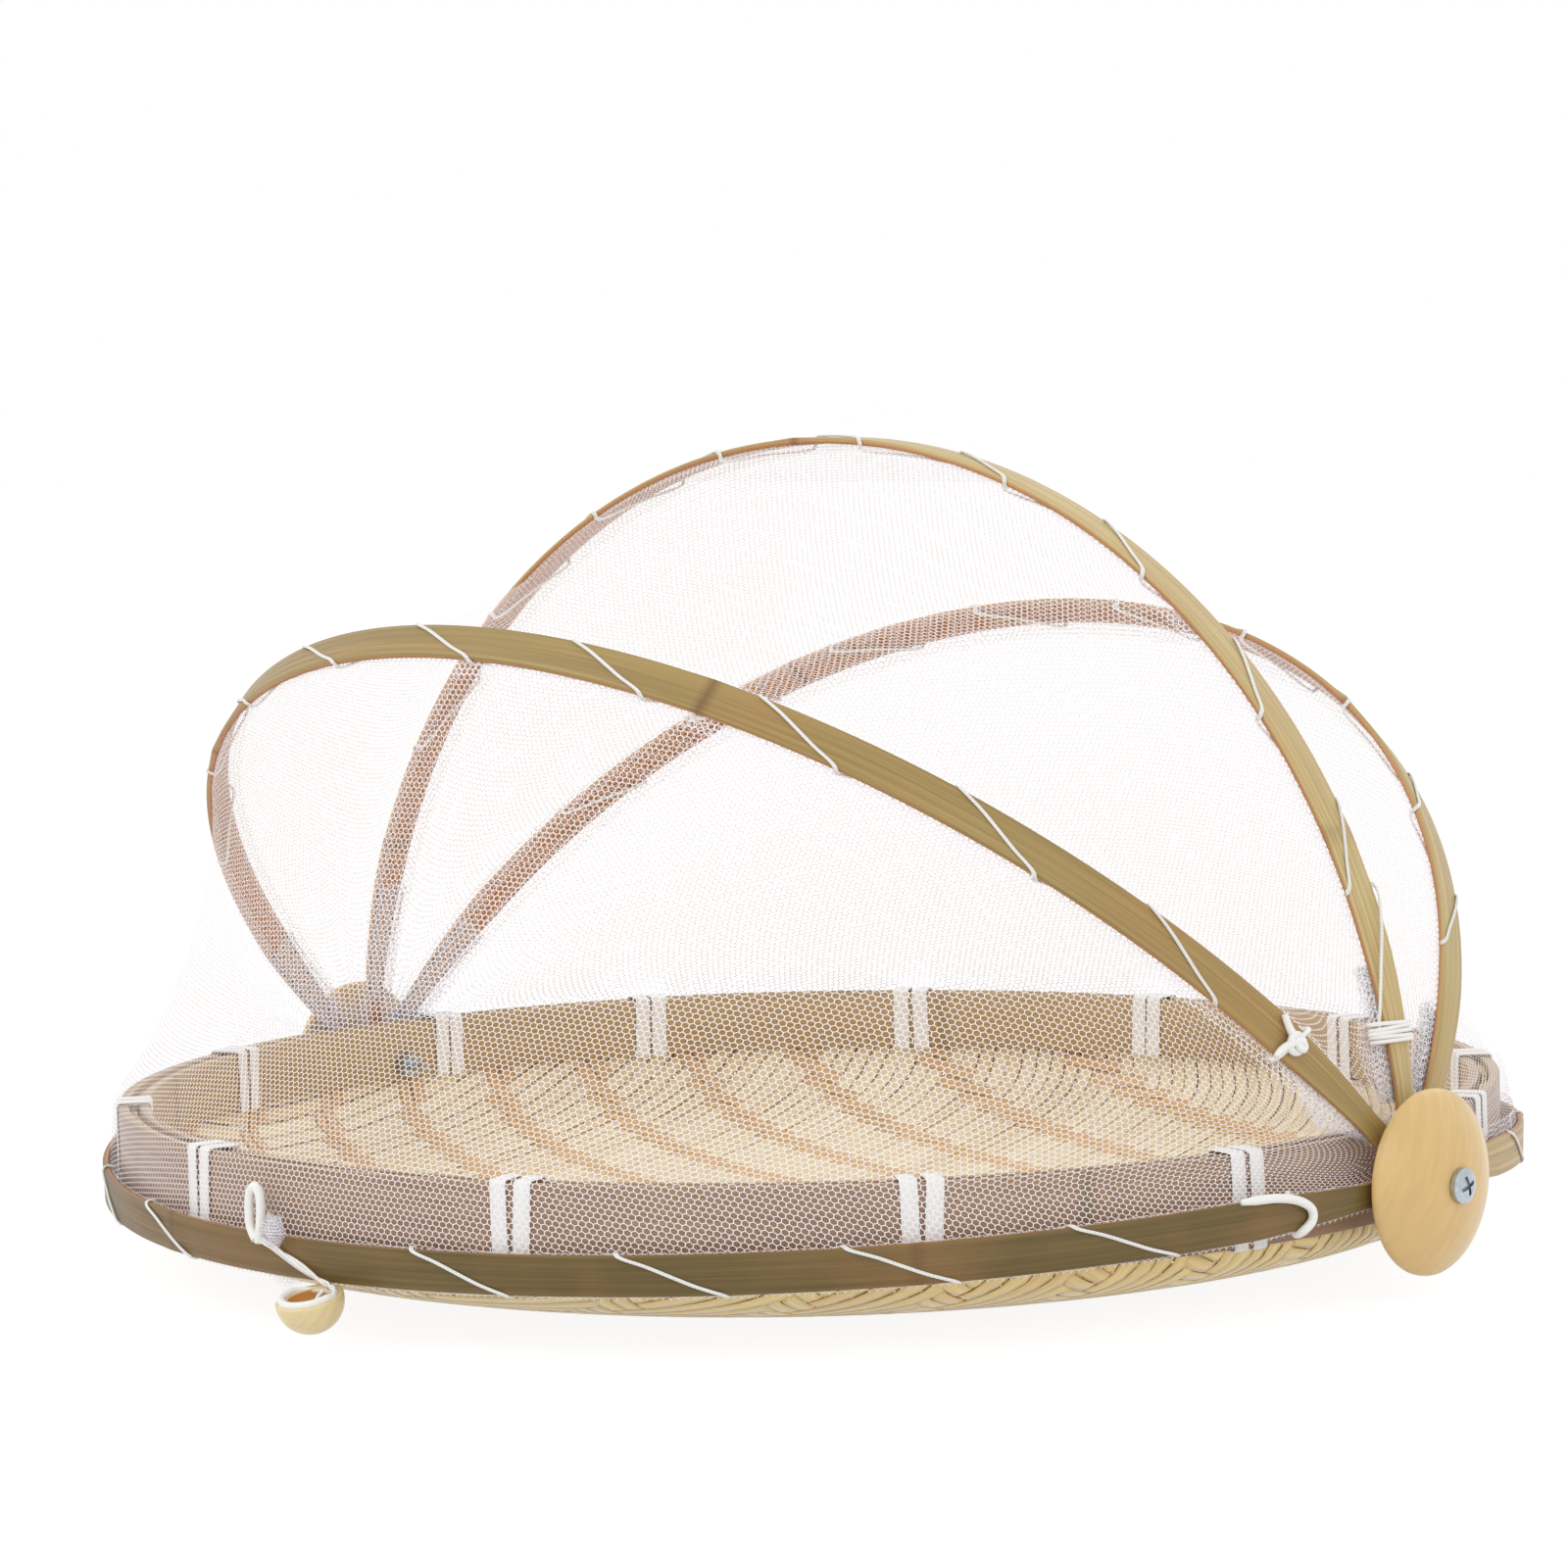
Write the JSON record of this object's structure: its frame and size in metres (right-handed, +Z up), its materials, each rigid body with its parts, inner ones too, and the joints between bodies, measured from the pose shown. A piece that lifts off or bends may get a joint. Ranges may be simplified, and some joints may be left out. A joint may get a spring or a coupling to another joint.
{
  "type": "food tray with folding net cover",
  "caption": "Round woven bamboo serving tray with a rim, and a sheer net dome on bent hoops that turn on a screw and wooden button at each side and fold to the back.",
  "frame": {"origin": "on the table, in the middle of the flat underside of the woven base", "axes": "+X along the pivot line towards the right-hand pivot, -Y towards the hoop with the pull knob, +Z up"},
  "size_m": [0.4446, 0.4195, 0.2286],
  "materials": {
    "woven_straw": "split bamboo strips in an open twill, satin, pale straw above and golden below",
    "rim_bamboo": "bent bamboo strip, satin with lengthwise fibres, warm tan",
    "hoop_olive": "green-brown bamboo skin, satin, lengthwise fibres, tan inner face",
    "hoop_tan": "olive-tan bamboo skin, satin, lengthwise fibres",
    "hoop_pale": "pale tan bamboo skin, satin, lengthwise fibres",
    "strap_white": "flat white plastic strap, slightly rough",
    "net_white": "white hexagonal tulle, sheer",
    "thread_white": "doubled white lacing thread",
    "button_wood": "turned pale wood, clear varnish",
    "knob_wood": "turned pale wood, clear varnish",
    "zinc": "bright zinc plated steel"
  },
  "bodies": {
    "tray": {"woven_base": "woven_straw", "rim_inner_hoop": "rim_bamboo", "rim_outer_hoop": "rim_bamboo", "rim_straps": "strap_white", "button_right": "button_wood", "button_left": "button_wood", "screw_right": "zinc", "screw_left": "zinc", "nut_right": "zinc", "nut_left": "zinc"},
    "back_low": {"hoop_back_low": "hoop_tan", "lacing_back_low": "thread_white"},
    "back_high": {"hoop_back_high": "hoop_pale", "lacing_back_high": "thread_white", "net_back_low": "net_white"},
    "top": {"hoop_top": "hoop_pale", "lacing_top": "thread_white", "binding_top": "thread_white", "net_back_high": "net_white"},
    "front_high": {"hoop_front_high": "hoop_tan", "lacing_front_high": "thread_white", "knot_front_high": "thread_white", "net_front_high": "net_white"},
    "front_low": {"hoop_front_low": "hoop_olive", "lacing_front_low": "thread_white", "tie_front_low": "thread_white", "net_front_low": "net_white", "pull_knob": "knob_wood", "knob_cord": "thread_white"}
  },
  "joints": [
    {"name": "cover_rock", "type": "hinge", "parent": "tray", "child": "back_low", "pos_m": [0, 0.014, 0.0317], "axis": [-1, 0, 0], "range_deg": [-0.9, 2]},
    {"name": "back_high_fold", "type": "hinge", "parent": "back_low", "child": "back_high", "pos_m": [0, 0.014, 0.0317], "axis": [-1, 0, 0], "range_deg": [0, 39.7], "deforming": ["net_back_low"]},
    {"name": "top_fold", "type": "hinge", "parent": "back_high", "child": "top", "pos_m": [0, 0.014, 0.0317], "axis": [-1, 0, 0], "range_deg": [0, 30.5], "deforming": ["net_back_high"]},
    {"name": "front_high_fold", "type": "hinge", "parent": "top", "child": "front_high", "pos_m": [0, 0.014, 0.0317], "axis": [-1, 0, 0], "range_deg": [0, 39.2], "deforming": ["net_front_high"]},
    {"name": "front_low_fold", "type": "hinge", "parent": "front_high", "child": "front_low", "pos_m": [0, 0.014, 0.0317], "axis": [-1, 0, 0], "range_deg": [0, 38.3], "deforming": ["net_front_low"]}
  ]
}
